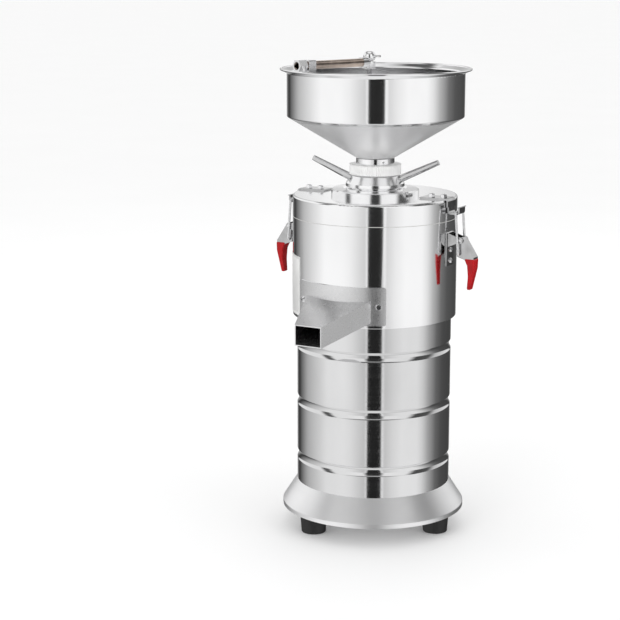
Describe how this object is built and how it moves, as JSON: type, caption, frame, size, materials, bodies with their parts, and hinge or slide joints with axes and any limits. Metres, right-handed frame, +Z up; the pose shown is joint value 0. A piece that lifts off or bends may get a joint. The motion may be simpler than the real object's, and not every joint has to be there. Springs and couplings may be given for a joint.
{
  "type": "peanut butter machine",
  "caption": "Upright stone mill for nut paste: hopper with water pipe, adjusting nut, latched grinding chamber with spout, motor housing on a flared base.",
  "frame": {"origin": "on the machine's upright axis at floor level, under the middle of the three feet", "axes": "+Z up along the motor shaft, -Y out of the spout, +X towards the right-hand latch seen from the front"},
  "size_m": [0.2716, 0.2838, 0.5889],
  "materials": {
    "polished_steel": "mirror polished stainless sheet",
    "satin_steel": "satin stainless sheet",
    "turned_steel": "turned and polished",
    "fasteners": "bright zinc",
    "cast_metal": "as cast",
    "laminated_iron": "matt",
    "copper_wire": "varnished",
    "pipe_metal": "thin nickel over brass, polished",
    "stone": "rough cut",
    "black_rubber": "matt",
    "pale_silicone": "moulded",
    "red_plastic": "dipped, glossy",
    "white_plastic": "moulded nylon",
    "black_plastic": "moulded"
  },
  "bodies": {
    "root": {"base_skirt": "satin_steel", "base_plate": "satin_steel", "rubber_feet": "black_rubber", "foot_screws": "fasteners", "motor_housing": "polished_steel", "chamber_housing": "polished_steel", "chamber_floor": "cast_metal", "shaft_seal": "black_rubber", "motor_top_shield": "cast_metal", "motor_bottom_shield": "cast_metal", "stator_core": "laminated_iron", "stator_winding": "copper_wire", "motor_tie_rods": "fasteners", "upper_bearing": "turned_steel", "lower_bearing": "turned_steel", "capacitor": "black_plastic", "lid": "polished_steel", "lid_boss": "turned_steel", "lid_gasket": "pale_silicone", "catch_right": "satin_steel", "catch_left": "satin_steel", "catch_screws": "fasteners", "latch_base_right": "satin_steel", "latch_base_left": "satin_steel", "latch_pins": "fasteners", "latch_screws": "fasteners", "spout": "satin_steel", "spout_screws": "fasteners", "switch_bezel": "black_plastic", "cable_gland": "black_plastic", "gland_nut": "black_plastic"},
    "rotor": {"motor_shaft": "turned_steel", "rotor_core": "laminated_iron", "cooling_fan": "black_plastic", "disc_holder": "turned_steel", "lower_grinding_stone": "stone", "shaft_nut": "fasteners"},
    "sleeve": {"feed_sleeve": "turned_steel", "upper_grinding_stone": "stone", "retaining_ring": "turned_steel", "collar_ring": "white_plastic"},
    "nut": {"adjusting_nut": "turned_steel", "handle_right": "turned_steel", "handle_left": "turned_steel"},
    "hopper_unit": {"hopper": "polished_steel", "hopper_neck": "turned_steel", "neck_screw": "fasteners", "water_pipe": "pipe_metal", "pipe_clamp": "fasteners", "pipe_nut": "fasteners", "tap_body": "fasteners"},
    "tap": {"tap_knob": "fasteners"},
    "lever_right": {"latch_lever_right": "satin_steel", "latch_grip_right": "red_plastic"},
    "lever_left": {"latch_lever_left": "satin_steel", "latch_grip_left": "red_plastic"},
    "bail_loop_right": {"bail_right": "fasteners"},
    "bail_loop_left": {"bail_left": "fasteners"},
    "rocker": {"switch_rocker": "black_plastic"}
  },
  "joints": [
    {"name": "rotor_spin", "type": "hinge", "parent": "root", "child": "rotor", "pos_m": [0, 0, 0.3], "axis": [0, 0, 1], "continuous": true},
    {"name": "sleeve_rise", "type": "slide", "parent": "root", "child": "sleeve", "axis": [0, 0, 1], "range_m": [-0.00034, 0.00167]},
    {"name": "nut_turn", "type": "hinge", "parent": "sleeve", "child": "nut", "pos_m": [0, 0, 0.4255], "axis": [0, 0, 1], "range_deg": [-60, 300]},
    {"name": "hopper_lift", "type": "slide", "parent": "sleeve", "child": "hopper_unit", "axis": [0, 0, 1], "range_m": [0, 0.04]},
    {"name": "tap_turn", "type": "hinge", "parent": "hopper_unit", "child": "tap", "pos_m": [-0.00376, -0.01034, 0.5798], "axis": [0, 0, 1], "range_deg": [0, 90]},
    {"name": "latch_right", "type": "hinge", "parent": "root", "child": "lever_right", "pos_m": [0.1175, 0, 0.3685], "axis": [0, -1, 0], "range_deg": [0, 80]},
    {"name": "latch_left", "type": "hinge", "parent": "root", "child": "lever_left", "pos_m": [-0.1175, 0, 0.3685], "axis": [0, 1, 0], "range_deg": [0, 80]},
    {"name": "bail_swing_right", "type": "hinge", "parent": "lever_right", "child": "bail_loop_right", "pos_m": [0.11662, 0, 0.35172], "axis": [0, -1, 0], "range_deg": [-55, 0]},
    {"name": "bail_swing_left", "type": "hinge", "parent": "lever_left", "child": "bail_loop_left", "pos_m": [-0.11662, 0, 0.35172], "axis": [0, 1, 0], "range_deg": [-55, 0]},
    {"name": "switch_rock", "type": "hinge", "parent": "root", "child": "rocker", "pos_m": [0, 0.0935, 0.1925], "axis": [-1, 0, 0], "range_deg": [0, 24]}
  ],
  "couplings": [
    {"joint": "sleeve_rise", "follows": "nut_turn", "m_per_rad": 0.00031831},
    {"joint": "bail_swing_right", "follows": "latch_right", "ratio": -0.674},
    {"joint": "bail_swing_left", "follows": "latch_left", "ratio": -0.674}
  ]
}
